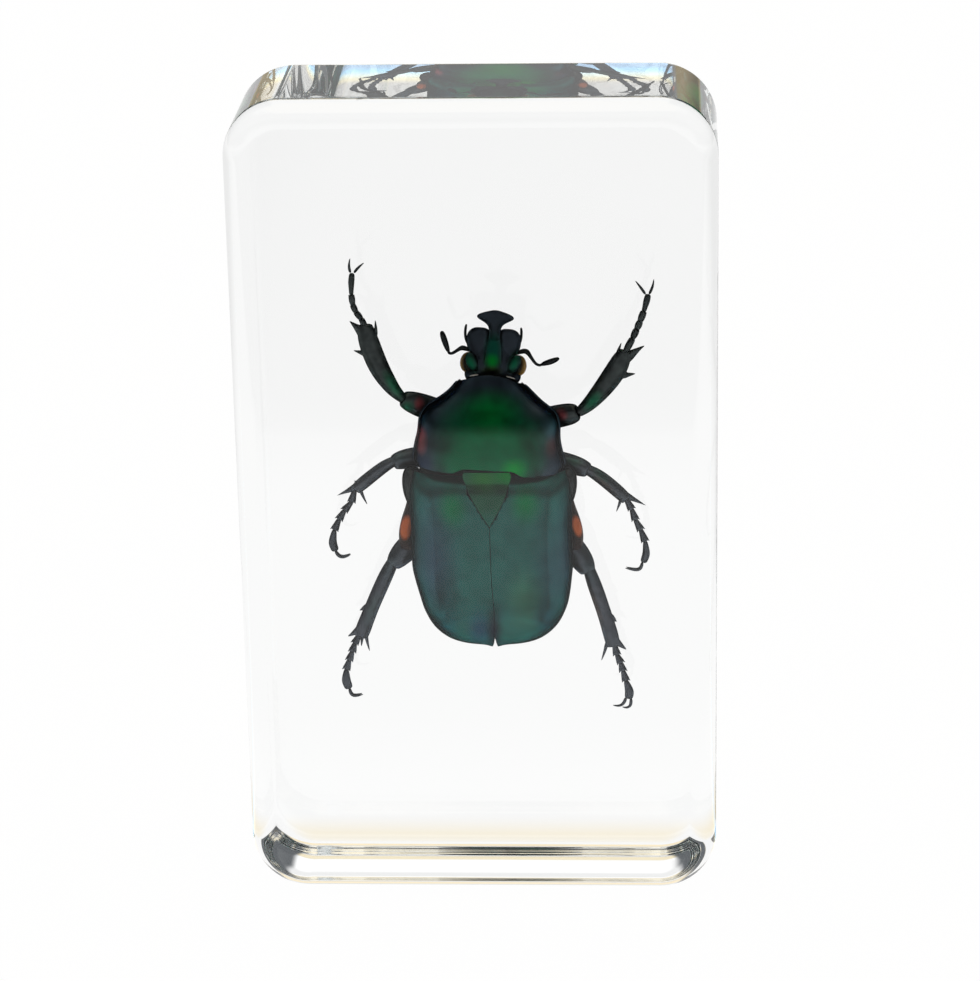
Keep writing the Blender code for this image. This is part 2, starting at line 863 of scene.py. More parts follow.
@dataclass
class WingCases:
    """The two elytra and the scutellum between their bases."""

    axis: float = 1.08
    base: float = 40.8
    tip: float = 23.44
    thickness: float = 0.28
    gap: float = 0.03
    groove: float = 0.09
    groove_depth: float = 3.0
    drift: Template = Template(((24.0, 0.23), (27.5, 0.25), (31.0, 0.08), (36.0, 0.0)))
    scutellum_base: float = 41.35
    scutellum_tip: float = 36.15
    scutellum_half: float = 2.38
    scutellum_swell: float = 0.24
    scutellum_corner: float = 0.28
    scutellum_corner_end: float = 1.0 / 9.0
    scutellum_shift: float = 0.2
    scutellum_thickness: float = 0.5
    scutellum_crown: float = 0.05
    scutellum_sink: float = 0.02
    scutellum_level: float = 40.1
    dome: Dome = Dome(
        half_width=Template(
            (
                (23.44, 0.8), (23.5, 1.6), (23.57, 2.45), (23.67, 3.2), (23.86, 3.87), (24.14, 4.46),
                (24.5, 4.97), (25.0, 5.5), (25.55, 5.94), (26.2, 6.31), (27.4, 6.79), (28.6, 7.07),
                (30.0, 7.33), (31.5, 7.52), (34.2, 7.46), (36.4, 7.5), (38.6, 7.6), (39.9, 7.5),
                (40.8, 7.1),
            )
        ),
        height=Template(
            (
                (23.1, 1.1), (23.6, 1.55), (24.4, 2.35), (25.4, 3.1), (27.0, 3.9), (29.5, 4.5),
                (33.0, 4.75), (37.0, 4.75), (38.8, 4.7), (39.8, 4.45), (40.4, 3.9), (40.8, 3.1),
            )
        ),
        margin=0.4,
    )

    def build(self, finish: Material, scutellum_finish: Material) -> None:
        """Model both elytra and the scutellum.

        Args:
            finish: The elytra's skin.
            scutellum_finish: The scutellum's skin.
        """
        right = self._elytron()
        pair = (right, mirror_copy(right, "elytron_left"))
        for piece in pair:
            settle(piece, self.axis, self.drift)
        cutter = self._scutellum("scutellum_cutter", self.groove, self.groove_depth)
        for piece in pair:
            use_modifier(piece, "BOOLEAN", operation="DIFFERENCE", object=cutter, solver="EXACT")
        bpy.data.objects.remove(cutter, do_unlink=True)
        plate = self._scutellum("scutellum", 0.0, self.scutellum_thickness)
        soften(plate, width=0.1, segments=3)
        for piece in pair:
            finish_piece(piece, Slot.WING_CASE, finish)
        finish_piece(plate, Slot.SHELL, scutellum_finish)

    def _elytron(self) -> Piece:
        """Return the right elytron about x = 0, as a closed shell."""
        piece = self.dome.arch("elytron_right", spread(self.base, self.tip, 52, 1.5))
        edit_all(piece)
        cut = (self.gap, 0.0, 0.0)
        bpy.ops.mesh.bisect(plane_co=cut, plane_no=(1.0, 0.0, 0.0), clear_inner=True, threshold=TOUCH)
        deselect_all()
        reshape(piece, self._relief)
        thicken(piece, self.thickness)
        soften(piece, width=0.07, segments=2)
        subdivide(piece, 1)
        return piece

    @staticmethod
    def _relief(point: Vector) -> Vector:
        """Raise the shoulder, the end bump, the ribs and the suture's rim.

        Args:
            point: A point of the plain sheet.

        Returns:
            Where it belongs.
        """
        across, z = point.x, point.z
        rear = ramp(z, 33.0, 25.0)
        shoulder = 0.24 * bell(math.hypot(across - 5.7, z - 38.7), 1.9)
        end_bump = 0.34 * bell(math.hypot(across - 4.2, (z - 26.2) * 0.9), 1.7)
        suture_rim = 0.14 * rear * bell(across, 0.45)
        trough = 0.22 * rear * bell(across - 1.1, 0.95)
        ribs = 0.07 * bell(z - 31.5, 7.5) * (bell(across - 3.1, 0.5) + bell(across - 5.2, 0.5))
        waist = 0.1 * bell(z - 34.4, 3.6) * bell(across - 7.2, 1.2)
        notch = 0.22 * ramp(z, 24.7, 23.3) * bell(across, 1.2)
        lift = shoulder + end_bump + suture_rim - trough + ribs - waist
        return Vector((across + notch, point.y - lift, z))

    def _scutellum(self, name: str, grow: float, depth: float) -> Piece:
        """Model the triangular plate, or the wider prism that makes room for it.

        Args:
            name: The piece's name.
            grow: How much wider it is all round; 0 for the plate.
            depth: Its thickness.

        Returns:
            The closed plate, following the elytra's arch.
        """
        deselect_all()
        bpy.ops.mesh.primitive_grid_add(x_subdivisions=16, y_subdivisions=22, size=2.0)
        piece = bpy.context.object
        piece.name = name
        tip_room, taper, least_half = 2.5 * grow, 0.9 * grow, 0.02
        length = self.scutellum_base - self.scutellum_tip + tip_room
        sink = -depth / 2.0 if grow else self.scutellum_sink
        crown = 0.0 if grow else self.scutellum_crown

        def bend(point: Vector) -> Vector:
            """Return where a point of the flat grid belongs on the arched triangle."""
            down = (1.0 - point.y) / 2.0
            z = self.scutellum_base + grow - down * length
            swell = math.sin(math.pi * down)
            half = self.scutellum_half * (1.0 - down) + self.scutellum_swell * swell + grow
            half -= self.scutellum_corner * ramp(down, self.scutellum_corner_end, 0.0) ** 2
            across = point.x * max(half - taper * down, least_half)
            rise = crown * (1.0 - point.x * point.x) * swell
            side = self.axis - self.scutellum_shift * (1.0 - down) + across
            return Vector((side, self.dome.y(across, min(z, self.scutellum_level)) + sink - rise, z))

        reshape(piece, bend)
        thicken(piece, depth)
        return piece


@dataclass
class Pronotum:
    """The shield behind the head, with a beaded rim."""

    axis: float = 0.9
    lean_deg: float = 3.3
    front: float = 49.35
    rear: float = 41.0
    thickness: float = 0.3
    bead: float = 0.3
    front_bow: float = 1.02
    front_half: float = 2.95
    front_start: float = 46.0
    rear_start: float = 44.0
    rear_hollow: float = 0.55
    rear_corner: float = 6.2
    drift: Template = Template(
        ((42.0, 0.04), (43.5, -0.06), (45.4, -0.06), (46.8, 0.04), (48.2, 0.06), (49.3, -0.08))
    )
    dome: Dome = Dome(
        half_width=Template(
            (
                (40.7, 6.65), (41.0, 6.88), (41.5, 7.0), (42.8, 6.78), (44.2, 6.5), (45.3, 6.44),
                (46.6, 5.97), (47.8, 5.1), (48.65, 4.0), (49.1, 3.3), (49.35, 2.9),
            )
        ),
        height=Template(((41.0, 4.58), (42.4, 4.6), (44.8, 4.23), (47.3, 3.4), (48.6, 2.87), (49.35, 2.5))),
        margin=0.55,
        squareness=2.35,
    )

    def build(self, finish: Material) -> None:
        """Model the shield and its rim as one piece.

        Args:
            finish: Its skin.
        """
        piece = self.dome.arch("pronotum", spread(self.rear, self.front, 40), steps=60)
        reshape(piece, self._bow)
        thicken(piece, self.thickness)
        soften(piece, width=0.09, segments=2)
        subdivide(piece, 1)
        gather("pronotum", [piece, *(self._bead(side) for side in Side)])
        settle(piece, self.axis, self.drift)
        finish_piece(piece, Slot.SHELL, finish, lean(self.axis, self.rear, self.lean_deg))

    def _bow(self, point: Vector) -> Vector:
        """Curve the front and rear edges of the plain sheet and turn up its sides.

        Args:
            point: A point of the plain sheet.

        Returns:
            Where it belongs.
        """
        out = abs(point.x)
        near_front = ramp(point.z, self.front_start, self.front) ** 2
        near_rear = ramp(point.z, self.rear_start, self.rear) ** 2
        front = self.front_bow * (1.0 - (out / self.front_half) ** 2)
        hollow = ramp(out, 3.3, 2.2)
        hollow *= hollow * (3.0 - 2.0 * hollow)
        rear = self.rear_hollow * hollow + 0.25 * max(out - self.rear_corner, 0.0)
        gutter = 0.05 * bell(out - 5.9, 0.7) * bell(point.z - 44.5, 5.0)
        return Vector((point.x, point.y + gutter, point.z + near_front * front + near_rear * rear))

    def _bead(self, side: Side) -> Piece:
        """Return the raised rim along one side of the shield.

        Args:
            side: That side.

        Returns:
            The rim's rod.
        """
        margin, inset = self.dome.margin, 0.02
        rows = []
        for level in spread(self.rear + 0.15, self.front - 0.1, 26):
            across = side.value * (self.dome.half_width.at(level) - inset)
            z = self._bow(Vector((across, margin, level))).z
            rows.append((across, margin - inset, z, self.bead, self.bead))
        return rod("pronotum_bead", rings(*rows), sides=8, rounds=1)


@dataclass(frozen=True)
class Twin:
    """A rod that the beetle has on both sides, as rows that start with how far out they lie."""

    name: str
    rows: tuple[tuple[float, float, float, float, float], ...]
    sides: int = 16
    left: float = 0.0
    right: float = 0.0

    def on(self, side: Side, axis: float) -> Piece:
        """Model the rod on one side.

        Args:
            side: That side.
            axis: The beetle's axis, which the left and the right rod are shifted from.

        Returns:
            The rod.
        """
        middle = axis + (self.left if side is Side.LEFT else self.right)
        course = rings(*((middle + side.value * out, *rest) for out, *rest in self.rows))
        return rod(f"{self.name}_{side.word}", course, sides=self.sides)


@dataclass
class Head:
    """The head: capsule, cupped clypeus, T-shaped horn, eyes, palps, antennae."""

    axis: float = 1.5
    neck: float = 50.0
    lean_deg: float = 4.0
    lobe_out: float = 1.28
    lobe_shift: float = -0.06
    palp: Twin = Twin(
        "palp",
        (
            (1.9, 0.3, 52.3, 0.34, 0.3), (2.38, 0.1, 53.0, 0.34, 0.3), (2.54, 0.0, 53.5, 0.28, 0.26),
            (2.57, -0.05, 54.0, 0.28, 0.26), (2.53, -0.1, 54.5, 0.26, 0.22), (2.48, -0.1, 54.7, 0.16, 0.14),
        ),
        sides=8, left=-0.15, right=-0.15,
    )
    # The neck strips are painted highlights: thin pale rods that stand for the light glinting through the
    # slits between the head and the pronotum.
    neck_skin: Twin = Twin(
        "neck_skin",
        (
            (1.25, -1.72, 50.28, 0.05, 0.2), (1.5, -1.62, 50.22, 0.12, 0.3),
            (1.85, -1.45, 50.12, 0.13, 0.3), (2.1, -1.3, 50.0, 0.05, 0.2),
        ),
        sides=8,
    )
    antenna_left: Course = rings(
        (0.1, -0.3, 52.24, 0.36, 0.32), (-0.5, -0.4, 52.43, 0.34, 0.3), (-0.95, -0.5, 52.63, 0.5, 0.44),
        (-1.25, -0.55, 52.73, 0.56, 0.46), (-1.5, -0.6, 52.58, 0.36, 0.32),
        (-1.85, -0.6, 52.36, 0.32, 0.28), (-2.16, -0.6, 52.15, 0.32, 0.28),
        (-2.42, -0.6, 52.18, 0.32, 0.28), (-2.52, -0.6, 52.4, 0.3, 0.26),
    )
    club_left: Course = rings(
        (-2.44, -0.6, 52.25, 0.26, 0.3), (-2.6, -0.6, 52.7, 0.5, 0.52), (-2.78, -0.6, 53.3, 0.6, 0.6),
        (-2.96, -0.6, 53.9, 0.58, 0.56), (-3.07, -0.6, 54.34, 0.34, 0.36),
    )
    antenna_right: Course = rings(
        (3.4, -0.3, 52.03, 0.42, 0.32), (3.95, -0.4, 52.21, 0.4, 0.3), (4.37, -0.5, 52.38, 0.54, 0.42),
        (4.7, -0.55, 52.33, 0.58, 0.46), (4.9, -0.6, 52.01, 0.38, 0.3), (5.2, -0.6, 51.52, 0.32, 0.26),
        (5.48, -0.6, 51.12, 0.3, 0.26), (5.82, -0.6, 50.98, 0.3, 0.28), (6.05, -0.6, 51.1, 0.28, 0.26),
    )
    club_right: Course = rings(
        (5.9, -0.6, 51.04, 0.26, 0.3), (6.3, -0.6, 51.2, 0.5, 0.52), (6.8, -0.6, 51.34, 0.58, 0.6),
        (7.25, -0.6, 51.52, 0.52, 0.56), (7.64, -0.6, 51.7, 0.28, 0.36),
    )

    def build(self, finish: Material, dark: Material, eye: Material, pale: Material) -> None:
        """Model the head and all that it carries.

        Args:
            finish: The head's skin.
            dark: The skin of the antennae and palps.
            eye: The eyes' finish.
            pale: The finish of the neck strips, a painted highlight.
        """
        turn = lean(self.axis, self.neck, self.lean_deg)
        finish_piece(self._capsule(), Slot.SHELL, finish, turn)
        finish_piece(self._horn(), Slot.SHELL, finish, turn)
        for side in Side:
            finish_piece(self._eye(side), Slot.EYE, eye, turn)
            finish_piece(self.palp.on(side, self.axis), Slot.LEG, dark, turn)
            finish_piece(self.neck_skin.on(side, self.axis), Slot.LEG, pale, turn)
        for name, base, club in (
            ("antenna_left", self.antenna_left, self.club_left),
            ("antenna_right", self.antenna_right, self.club_right),
        ):
            parts = [rod("antenna_base", base, sides=10), rod("antenna_club", club)]
            finish_piece(gather(name, parts), Slot.LEG, dark)

    def _capsule(self) -> Piece:
        """Return the head capsule with its clypeus lobes, canthi and ridge."""
        a = self.axis
        core = rings(
            (a, 0.7, 48.6, 3.6, 2.6), (a, 0.4, 49.7, 4.3, 3.0), (a, 0.15, 50.4, 4.7, 3.0),
            (a, 0.0, 51.3, 4.5, 2.9), (a, -0.1, 52.2, 4.0, 2.6), (a, -0.2, 52.9, 4.1, 2.2),
            (a, -0.3, 53.4, 4.1, 1.8), (a, -0.35, 53.9, 3.2, 1.3), (a, -0.4, 54.2, 2.0, 0.9),
        )
        ridge = rings(
            (a, -1.0, 50.2, 1.7, 0.6), (a, -1.3, 51.2, 1.7, 0.65), (a, -1.4, 52.4, 1.6, 0.65),
            (a, -1.45, 53.5, 1.3, 0.65), (a, -1.5, 54.3, 1.0, 0.6),
        )
        parts = [rod("head_core", core, sides=20), rod("head_ridge", ridge, sides=14)]
        for side in Side:
            way = side.value
            parts.append(self._lobe(a + self.lobe_shift + way * self.lobe_out))
            parts.append(lump("canthus", (a + way * 1.95, -1.05, 51.35), (0.55, 0.32, 0.95), 22.0 * way))
            parts.append(lump("temple", (a + way * 2.02, -0.1, 50.0), (0.57, 0.9, 0.72)))
        return weld("head", parts, grain=0.055, passes=6)

    @staticmethod
    def _lobe(x: float) -> Piece:
        """Return one of the two squarish lobes in front of the eyes.

        Args:
            x: Where its middle stands.

        Returns:
            The lobe.
        """
        rows = rings(
            (x, -0.4, 52.0, 1.6, 1.1), (x, -0.55, 52.5, 2.25, 1.1), (x, -0.7, 53.1, 2.5, 1.0),
            (x, -0.8, 53.6, 2.56, 0.85), (x, -0.9, 54.1, 2.32, 0.7), (x, -0.95, 54.45, 1.75, 0.5),
            (x, -0.97, 54.64, 0.95, 0.36),
        )
        return rod("clypeus_lobe", hold_ends(rows), sides=16)

    def _horn(self) -> Piece:
        """Return the horn: a short stem that opens into a rounded T."""
        a = self.axis
        rows = rings(
            (a, -1.3, 53.2, 1.2, 0.7), (a, -1.6, 54.1, 1.08, 0.6), (a, -1.75, 54.72, 1.1, 0.55),
            (a, -1.85, 55.05, 1.3, 0.5), (a, -1.92, 55.35, 1.9, 0.45), (a, -1.98, 55.6, 2.9, 0.42),
            (a, -2.02, 55.82, 3.5, 0.4), (a, -2.08, 56.08, 3.35, 0.38), (a, -2.12, 56.3, 2.5, 0.34),
            (a, -2.16, 56.5, 1.2, 0.28), (a, -2.18, 56.6, 0.4, 0.2),
        )
        return rod("horn", rows, sides=20)

    def _eye(self, side: Side) -> Piece:
        """Return one eye, set into the side of the head."""
        middle = (self.axis + side.value * 2.32, 0.05, 51.03)
        return lump(f"eye_{side.word}", middle, (0.74, 1.05, 0.98), -4.0 * side.value)


@dataclass
class Underside:
    """Breast, belly, shoulder pieces and the rusty plates beside the hind legs."""

    axis: float = 1.08
    belly_joints: tuple[float, ...] = (33.6, 31.9, 30.4, 28.9, 27.4, 26.0, 24.15)
    belly_nips: tuple[tuple[float, float], ...] = ((0.0, 0.965), (0.12, 1.0), (0.55, 1.01), (0.9, 1.0))
    belly_half: Template = Template(
        ((24.15, 1.6), (24.5, 2.9), (25.2, 4.1), (26.3, 5.1), (28.0, 6.0), (30.5, 6.5), (33.6, 6.6))
    )
    belly_thick: Template = Template(
        ((24.15, 1.2), (24.6, 2.2), (25.6, 3.4), (27.5, 4.8), (30.0, 5.8), (33.6, 6.2))
    )

    shoulder: Twin = Twin(
        "shoulder",
        (
            (-0.25, 0.1, 40.95, 1.2, 1.6), (0.0, 0.2, 40.5, 1.85, 2.4), (0.1, 0.35, 39.6, 1.9, 2.8),
            (0.05, 0.5, 38.5, 1.8, 2.8), (-0.15, 0.7, 37.4, 1.4, 2.4), (-0.2, 0.9, 36.6, 0.9, 1.6),
        ),
        left=-7.2, right=7.04,
    )
    side_plate: Twin = Twin(
        "side_plate",
        (
            (7.05, 1.3, 38.1, 1.0, 1.2), (7.2, 1.4, 36.8, 1.3, 1.8), (7.55, 1.5, 35.7, 1.4, 2.2),
            (7.8, 1.6, 34.6, 1.5, 2.4), (7.85, 1.7, 33.5, 1.6, 2.2), (7.6, 1.8, 32.4, 1.5, 1.6),
        ),
        left=-0.12, right=-0.03,
    )

    def build(self, finish: Material, plate: Material) -> None:
        """Model the body under the shells.

        Args:
            finish: The body's skin.
            plate: The rusty side plates' skin.
        """
        for part in (self._fore_breast, self._breast, self._belly):
            finish_piece(part(), Slot.SHELL, finish)
        for side in Side:
            finish_piece(self.shoulder.on(side, self.axis), Slot.SHELL, finish)
            finish_piece(self.side_plate.on(side, self.axis), Slot.SIDE_PLATE, plate)

    def _fore_breast(self) -> Piece:
        """Return the underside of the front segment with the fore coxae."""
        a = self.axis
        core = rings(
            (a, 1.2, 40.2, 13.6, 4.6), (a, 1.2, 41.2, 14.0, 5.2), (a, 1.15, 43.0, 12.4, 5.8),
            (a, 1.05, 45.0, 11.6, 5.6), (a, 0.9, 46.8, 9.6, 5.0), (a, 0.75, 48.4, 6.6, 3.8),
            (a, 0.6, 49.3, 4.4, 2.8),
        )
        parts = [rod("fore_breast_core", core, sides=28)]
        for side in Side:
            way = side.value
            parts.append(lump("fore_hip", (a + way * 2.1, 3.5, 44.9), (1.9, 1.3, 1.1), 12.0 * way))
        return weld("fore_breast", parts, grain=0.11, passes=6)

    def _breast(self) -> Piece:
        """Return the main breast with the middle and hind hips."""
        a = self.axis
        core = rings(
            (a, 0.9, 41.3, 12.0, 4.6), (a, 1.1, 40.7, 13.6, 5.6), (a, 1.2, 39.4, 13.8, 6.4),
            (a, 1.15, 37.0, 14.3, 6.9), (a, 1.05, 34.8, 14.2, 6.7), (a, 0.95, 33.2, 13.2, 6.0),
        )
        knob = rings(
            (a, 3.9, 38.0, 1.4, 1.2), (a, 4.5, 40.2, 1.6, 1.3), (a, 4.9, 41.6, 1.9, 1.3),
            (a, 5.05, 42.6, 1.7, 1.0), (a, 5.0, 43.0, 0.8, 0.6),
        )
        parts = [rod("breast_core", core, sides=32), rod("breast_knob", knob, sides=14)]
        for side in Side:
            way = side.value
            parts.append(lump("middle_hip", (a + way * 2.9, 3.7, 41.1), (1.7, 1.1, 0.95), -14.0 * way))
            parts.append(lump("hind_hip", (a + way * 3.9, 3.2, 34.3), (3.4, 1.2, 1.25), 14.0 * way))
        return weld("breast", parts, grain=0.12, passes=6)

    def _belly(self) -> Piece:
        """Return the belly, nipped in between its plates."""
        rows = []
        for upper, lower in zip(self.belly_joints, self.belly_joints[1:]):
            for part, nip in self.belly_nips:
                z = upper + (lower - upper) * part
                wide, thick = 2.0 * self.belly_half.at(z) * nip, self.belly_thick.at(z) * nip
                rows.append((self.axis, 0.75, z, wide, thick))
        rows.append((self.axis, 0.7, self.belly_joints[-1], 2.0, 0.9))
        return rod("belly", rings(*rows), sides=32)


@dataclass(frozen=True)
class Foot:
    """A tarsus: where its joints are, how it flares, and its claws, as places across and up."""

    joints: tuple[Spot, ...]
    belly: Spot
    claws: tuple[tuple[Spot, ...], ...]
    depth: float
    narrow: float = 0.52
    flare: float = 0.86
    swell: float = 0.86
    spine: float = 0.28
    claw_gap: float = 0.0

    def build(self, name: str) -> Piece:
        """Model the foot as one piece.

        Args:
            name: The piece's name.

        Returns:
            The foot.
        """
        parts: list[Piece] = []
        for start, stop in zip(self.joints[:-2], self.joints[1:-1]):
            parts += self._segment(start, stop)
        parts.append(self._last_segment(self.joints[-2], self.joints[-1]))
        for number, claw in enumerate(self.claws):
            parts.append(self._claw(claw, self.claw_gap * (number - 0.5)))
        return gather(name, parts)

    def _segment(self, start: Spot, stop: Spot) -> list[Piece]:
        """Return one flared segment with the spines at its far corners.

        Args:
            start: The joint it begins at.
            stop: The joint it ends at.

        Returns:
            The segment, then its two spines.
        """
        root, tip = Vector(start), Vector(stop)
        run = tip - root
        across = Vector((run.y, -run.x)).normalized()
        widths = (
            (-0.12, self.narrow * 0.7), (0.1, self.narrow), (0.5, self.narrow * 1.25),
            (0.9, self.flare), (1.0, self.flare * 0.9),
        )
        rows = []
        for part, width in widths:
            middle = root + run * part
            rows.append((middle.x, self.depth, middle.y, width, width * 0.85))
        parts = [rod("segment", rings(*rows), sides=10, rounds=1)]
        for way in (-1.0, 1.0):
            foot = tip - run * 0.15 + across * (way * self.flare * 0.3)
            end = foot + run.normalized() * self.spine + across * (way * self.spine * 0.55)
            spine = rings((foot.x, self.depth, foot.y, 0.26, 0.24), (end.x, self.depth, end.y, 0.06, 0.06))
            parts.append(rod("spine", spine, sides=6, rounds=1))
        return parts

    def _last_segment(self, start: Spot, stop: Spot) -> Piece:
        """Return the long last segment, thickest in the middle.

        Args:
            start: The joint it begins at.
            stop: Its tip, where the claws are.

        Returns:
            The segment.
        """
        root, middle, tip = Vector(start), Vector(self.belly), Vector(stop)
        first = root + (root - middle).normalized() * 0.1
        sections = (
            (first, self.narrow * 0.8, self.narrow * 0.7),
            (root * 0.6 + middle * 0.4, self.swell * 0.72, self.swell * 0.65),
            (middle, self.swell, self.swell * 0.85),
            (middle * 0.4 + tip * 0.6, self.swell * 0.95, self.swell * 0.8),
            (tip, self.swell * 0.78, self.swell * 0.7),
        )
        rows = rings(*((spot.x, self.depth, spot.y, wide, thick) for spot, wide, thick in sections))
        return rod("last_segment", rows)

    def _claw(self, course: tuple[Spot, ...], off: float) -> Piece:
        """Return one hooked claw.

        Args:
            course: The places it runs through.
            off: How far it lies from the foot's own depth.

        Returns:
            The claw.
        """
        widths = (0.34, 0.36, 0.3, 0.08) if len(course) == 4 else (0.32, 0.27, 0.08)
        rows = []
        for step, ((x, z), width) in enumerate(zip(course, widths)):
            rows.append((x, self.depth + off * (0.6 + 0.4 * step / len(course)), z, width, width))
        return rod("claw", rings(*rows), sides=10)


@dataclass(frozen=True)
class Leg:
    """One leg: thigh, shin with its teeth and spurs, and foot."""

    name: str
    thigh: Course
    shin: Course
    teeth: tuple[Course, ...]
    spurs: tuple[Course, ...]
    foot: Foot

    def build(self, finish: Material) -> None:
        """Model the leg's three pieces.

        Args:
            finish: The leg's skin.
        """
        thigh = rod("thigh", hold_ends(self.thigh), sides=16)
        finish_piece(weld(f"{self.name}_thigh", [thigh], grain=0.07, passes=3), Slot.LEG, finish)
        teeth = [rod("tooth", tooth, sides=8, rounds=1) for tooth in self.teeth]
        parts = [rod("shin", hold_ends(self.shin), sides=16), *teeth]
        shin = weld(f"{self.name}_shin", parts, grain=0.045, passes=2)
        gather(f"{self.name}_shin", [shin, *(rod("spur", spur, sides=8) for spur in self.spurs)])
        finish_piece(shin, Slot.LEG, finish)
        finish_piece(self.foot.build(f"{self.name}_foot"), Slot.LEG, finish)


def level(depth: float, *rows: tuple[float, float, float, float]) -> Course:
    """Return cross-sections at one depth, from rows of x, z, width and thickness."""
    return rings(*((x, depth, z, wide, thick) for x, z, wide, thick in rows))


def fore_legs() -> tuple[Leg, Leg]:
    """Return the fore legs in the pose that the resin holds them in."""
    left = Leg(
        name="fore_leg_left",
        thigh=rings(
            (-1.5, 3.0, 45.0, 1.9, 1.8), (-3.6, 2.4, 45.93, 2.45, 1.9), (-5.2, 1.9, 46.63, 2.45, 1.8),
            (-6.3, 1.5, 47.15, 2.1, 1.5), (-6.95, 1.3, 47.45, 1.45, 1.2),
        ),
        shin=rings(
            (-6.75, 1.2, 47.35, 0.9, 0.9), (-7.53, 1.15, 48.1, 1.3, 1.1), (-8.12, 1.1, 48.95, 1.63, 1.15),
            (-9.03, 1.05, 50.5, 2.0, 1.1), (-9.8, 1.0, 52.8, 2.03, 1.05), (-10.05, 0.95, 54.0, 1.75, 0.95),
            (-10.07, 0.95, 54.7, 1.15, 0.8),
        ),
        teeth=(
            level(1.0, (-9.7, 53.3, 1.9, 0.8), (-10.4, 53.9, 1.35, 0.65), (-11.0, 54.5, 0.55, 0.4),
                  (-11.6, 55.02, 0.05, 0.1)),
            level(1.0, (-9.9, 51.7, 0.9, 0.7), (-10.5, 51.95, 0.5, 0.45), (-11.35, 52.17, 0.05, 0.1)),
        ),
        spurs=(
            rings(
                (-9.2, 1.0, 53.4, 0.5, 0.4), (-9.13, 1.0, 54.2, 0.34, 0.3), (-9.18, 0.95, 55.1, 0.08, 0.08),
            ),
        ),
        foot=Foot(
            joints=(
                (-10.08, 54.4), (-10.43, 55.2), (-10.9, 55.84), (-11.18, 56.54), (-11.28, 57.52),
                (-11.15, 59.6),
            ),
            belly=(-11.26, 58.6),
            claws=(
                ((-11.28, 59.55), (-11.46, 60.2), (-11.28, 61.0)),
                ((-11.0, 59.55), (-10.58, 60.1), (-10.0, 60.56)),
            ),
            depth=0.8, narrow=0.54, flare=0.6, swell=0.62, spine=0.16,
        ),
    )
    right = Leg(
        name="fore_leg_right",
        thigh=rings(
            (3.0, 3.0, 44.2, 1.8, 1.8), (5.4, 2.4, 45.0, 2.3, 1.9), (7.4, 1.9, 45.55, 2.3, 1.8),
            (8.6, 1.5, 45.88, 2.2, 1.5), (9.3, 1.3, 46.08, 1.5, 1.2),
        ),
        shin=rings(
            (9.2, 1.2, 46.0, 0.9, 0.9), (10.05, 1.15, 46.65, 1.3, 1.1), (10.92, 1.1, 47.62, 1.65, 1.15),
            (11.83, 1.05, 48.78, 1.93, 1.1), (12.78, 1.0, 50.18, 2.06, 1.05),
            (13.33, 0.95, 51.38, 1.76, 0.95), (13.62, 0.95, 52.1, 1.05, 0.8),
        ),
        teeth=(
            level(1.0, (13.4, 51.2, 1.5, 0.8), (14.1, 51.65, 1.05, 0.6), (14.75, 52.15, 0.45, 0.4),
                  (15.45, 52.58, 0.05, 0.1)),
            level(1.0, (13.2, 49.6, 0.9, 0.7), (13.85, 49.77, 0.5, 0.4), (14.62, 49.85, 0.05, 0.1)),
        ),
        spurs=(
            rings(
                (12.8, 1.0, 51.3, 0.5, 0.4), (12.98, 1.0, 52.08, 0.34, 0.3),
                (13.28, 0.95, 52.86, 0.08, 0.08),
            ),
        ),
        foot=Foot(
            joints=(
                (13.58, 51.9), (14.3, 53.29), (14.67, 54.14), (14.97, 54.87), (15.32, 55.85),
                (15.73, 57.48),
            ),
            belly=(15.55, 56.7),
            claws=(
                ((15.5, 57.4), (15.05, 58.1), (14.53, 58.76)),
                ((15.78, 57.4), (16.15, 58.15), (16.24, 58.92)),
            ),
            depth=0.8, narrow=0.6, flare=0.66, swell=0.66, spine=0.14,
        ),
    )
    return left, right


